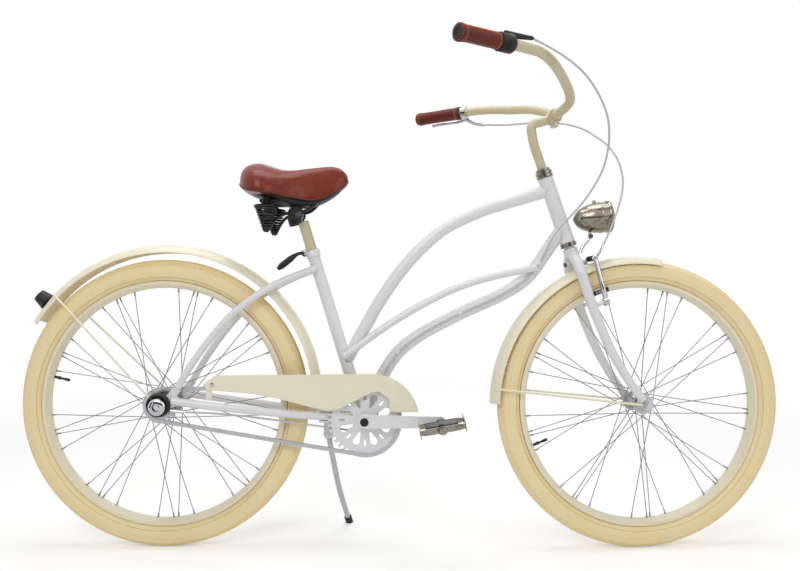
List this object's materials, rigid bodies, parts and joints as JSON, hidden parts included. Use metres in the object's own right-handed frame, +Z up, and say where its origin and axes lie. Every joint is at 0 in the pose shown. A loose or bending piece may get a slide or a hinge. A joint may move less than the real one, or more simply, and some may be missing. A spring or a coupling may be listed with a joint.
{
  "type": "city bicycle",
  "caption": "City bicycle with a low curved frame, balloon tyres, mudguards, sprung saddle and hub gear, leaning on its side stand.",
  "frame": {"origin": "on the ground, under the middle of the parked bicycle", "axes": "+X forward, +Y to the bicycle's left, the side it leans to, +Z up"},
  "size_m": [1.7683, 0.7596, 1.1257],
  "materials": {
    "frame_paint": "pearl white gloss paint",
    "cream_paint": "cream gloss paint",
    "bar_paint": "warm beige gloss paint",
    "cream_rubber": "cream rubber",
    "cream_rim": "cream enamel",
    "spoke_steel": "drawn steel",
    "polished_metal": "polished",
    "lamp_glass": "clear",
    "saddle_leather": "smooth brown",
    "black_metal": "satin black",
    "black_plastic": "moulded black",
    "black_rubber": "moulded black"
  },
  "bodies": {
    "frame": {"head_tube": "frame_paint", "top_tube": "frame_paint", "down_tube": "frame_paint", "side_tubes": "frame_paint", "seat_tube": "frame_paint", "bracket_shell": "frame_paint", "seat_stays": "frame_paint", "chain_stays": "frame_paint", "dropouts": "frame_paint", "headset": "polished_metal", "seat_clamp": "black_metal", "seat_post": "bar_paint", "saddle_cover": "saddle_leather", "saddle_base": "black_plastic", "saddle_frame": "black_metal", "bracket_cups": "polished_metal", "guard_brackets": "cream_paint", "rear_mudguard": "cream_paint", "rear_mudguard_stays": "cream_paint", "rear_lamp": "black_plastic", "chain_guard": "cream_paint", "chain": "polished_metal", "rear_axle": "polished_metal", "stand_mount": "frame_paint"},
    "steering": {"fork": "frame_paint", "stem": "bar_paint", "handlebar": "bar_paint", "grip_left": "saddle_leather", "grip_right": "saddle_leather", "twist_shifter": "black_plastic", "brake_lever": "polished_metal", "front_brake": "polished_metal", "front_mudguard": "cream_paint", "front_mudguard_stays": "cream_paint", "headlamp_shell": "polished_metal", "headlamp_lens": "lamp_glass", "lamp_bracket": "polished_metal", "front_axle": "polished_metal"},
    "front_wheel": {"front_tyre": "cream_rubber", "front_rim": "cream_rim", "front_spokes": "spoke_steel", "front_hub": "polished_metal"},
    "rear_wheel": {"rear_tyre": "cream_rubber", "rear_rim": "cream_rim", "rear_spokes": "spoke_steel", "rear_hub": "polished_metal"},
    "sprocket": {"rear_sprocket": "polished_metal"},
    "crank": {"chainring": "frame_paint", "cranks": "frame_paint"},
    "pedal_right": {"pedal_right": "black_metal"},
    "pedal_left": {"pedal_left": "black_metal"},
    "stand": {"stand_leg": "frame_paint", "stand_foot": "black_rubber"}
  },
  "joints": [
    {"name": "steering_turn", "type": "hinge", "parent": "frame", "child": "steering", "pos_m": [0.51523, -0.05552, 0.33215], "axis": [-0.3251, 0.0709, 0.943], "range_deg": [-55, 45]},
    {"name": "front_wheel_turn", "type": "hinge", "parent": "steering", "child": "front_wheel", "pos_m": [0.55128, -0.05255, 0.33187], "axis": [-0.0825, 0.9913, -0.103], "continuous": true},
    {"name": "rear_wheel_turn", "type": "hinge", "parent": "frame", "child": "rear_wheel", "pos_m": [-0.5511, -0.05552, 0.33264], "axis": [0, 0.9972, -0.075], "continuous": true},
    {"name": "crank_turn", "type": "hinge", "parent": "frame", "child": "crank", "pos_m": [-0.08511, -0.05803, 0.29902], "axis": [0, 0.9972, -0.075], "continuous": true},
    {"name": "sprocket_turn", "type": "hinge", "parent": "frame", "child": "sprocket", "pos_m": [-0.5511, -0.05552, 0.33264], "axis": [0, 0.9972, -0.075], "continuous": true},
    {"name": "pedal_right_turn", "type": "hinge", "parent": "crank", "child": "pedal_right", "pos_m": [0.08589, -0.05803, 0.29894], "axis": [0, 0.9972, -0.075], "continuous": true},
    {"name": "pedal_left_turn", "type": "hinge", "parent": "crank", "child": "pedal_left", "pos_m": [-0.25611, -0.05803, 0.2991], "axis": [0, 0.9972, -0.075], "continuous": true},
    {"name": "stand_fold", "type": "hinge", "parent": "frame", "child": "stand", "pos_m": [-0.17413, -0.03925, 0.25553], "axis": [0.0092, 0.9965, -0.0826], "range_deg": [0, 95]}
  ],
  "couplings": [
    {"joint": "sprocket_turn", "follows": "crank_turn", "ratio": 2.2222}
  ]
}
